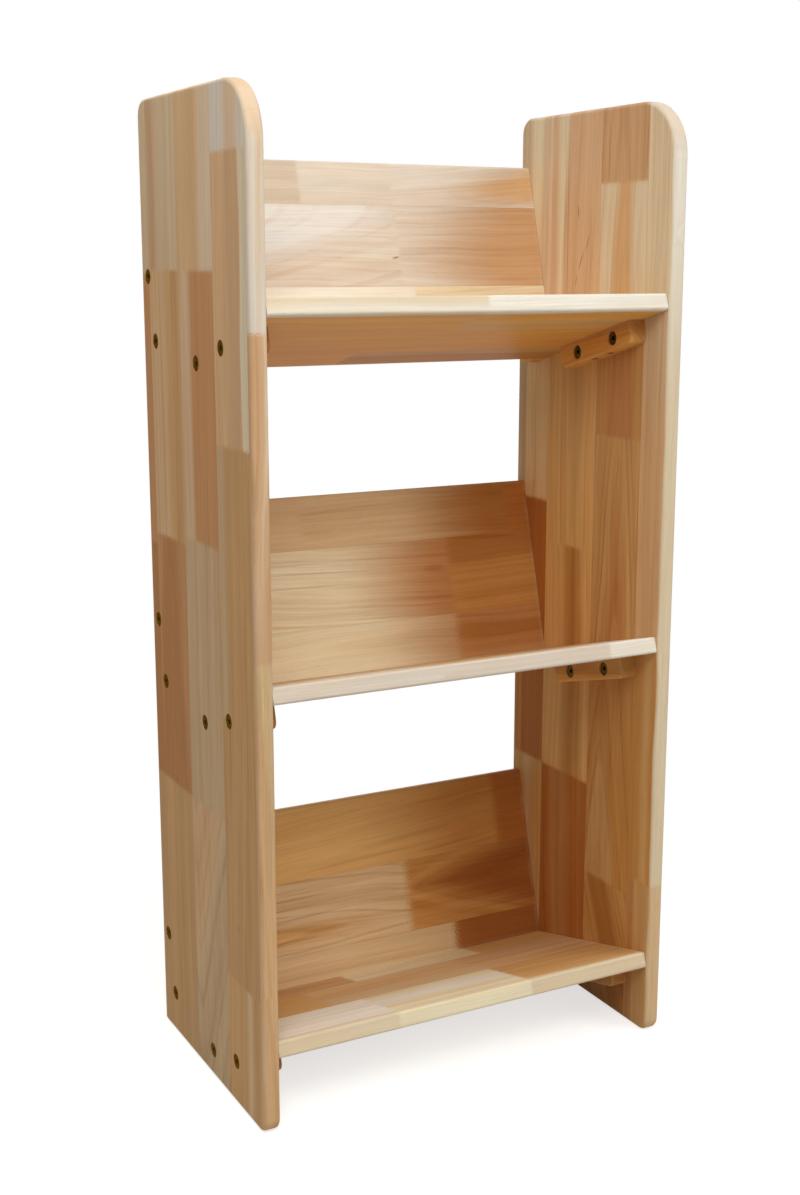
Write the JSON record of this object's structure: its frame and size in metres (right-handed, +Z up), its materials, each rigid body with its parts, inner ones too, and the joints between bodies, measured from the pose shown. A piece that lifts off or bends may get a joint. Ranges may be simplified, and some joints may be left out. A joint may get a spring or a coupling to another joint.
{
  "type": "bookcase",
  "caption": "Open solid wood bookcase: side panels carry tilted display shelves, each with a leaning back board, on cleats bolted through the panels.",
  "frame": {"origin": "on the floor, at the middle of the case's footprint", "axes": "+X to the right seen from the front, +Y to the back, +Z up"},
  "size_m": [0.5, 0.3, 1.05],
  "materials": {
    "panel_wood": "satin clear lacquer on edge-glued rubberwood, grain upright",
    "shelf_wood": "satin clear lacquer on edge-glued rubberwood, grain along the width",
    "back_board_wood": "satin clear lacquer on edge-glued rubberwood, grain along the width",
    "cleat_wood": "satin clear lacquer",
    "dowel_wood": "raw beech",
    "bronze_bolt": "antique bronze plate",
    "bronze_nut": "antique bronze plate",
    "zinc_screw": "zinc plate"
  },
  "bodies": {
    "root": {"left_side_panel": "panel_wood", "right_side_panel": "panel_wood", "lower_shelf": "shelf_wood", "lower_back_board": "back_board_wood", "lower_left_shelf_cleat": "cleat_wood", "lower_left_back_cleat": "cleat_wood", "lower_right_shelf_cleat": "cleat_wood", "lower_right_back_cleat": "cleat_wood", "middle_shelf": "shelf_wood", "middle_back_board": "back_board_wood", "middle_left_shelf_cleat": "cleat_wood", "middle_left_back_cleat": "cleat_wood", "middle_right_shelf_cleat": "cleat_wood", "middle_right_back_cleat": "cleat_wood", "upper_shelf": "shelf_wood", "upper_back_board": "back_board_wood", "upper_left_shelf_cleat": "cleat_wood", "upper_left_back_cleat": "cleat_wood", "upper_right_shelf_cleat": "cleat_wood", "upper_right_back_cleat": "cleat_wood", "lower_dowels": "dowel_wood", "middle_dowels": "dowel_wood", "upper_dowels": "dowel_wood", "lower_left_connector_bolts": "bronze_bolt", "lower_left_sleeve_nuts": "bronze_nut", "lower_left_cleat_screws": "zinc_screw", "lower_right_connector_bolts": "bronze_bolt", "lower_right_sleeve_nuts": "bronze_nut", "lower_right_cleat_screws": "zinc_screw", "middle_left_connector_bolts": "bronze_bolt", "middle_left_sleeve_nuts": "bronze_nut", "middle_left_cleat_screws": "zinc_screw", "middle_right_connector_bolts": "bronze_bolt", "middle_right_sleeve_nuts": "bronze_nut", "middle_right_cleat_screws": "zinc_screw", "upper_left_connector_bolts": "bronze_bolt", "upper_left_sleeve_nuts": "bronze_nut", "upper_left_cleat_screws": "zinc_screw", "upper_right_connector_bolts": "bronze_bolt", "upper_right_sleeve_nuts": "bronze_nut", "upper_right_cleat_screws": "zinc_screw"}
  },
  "joints": []
}
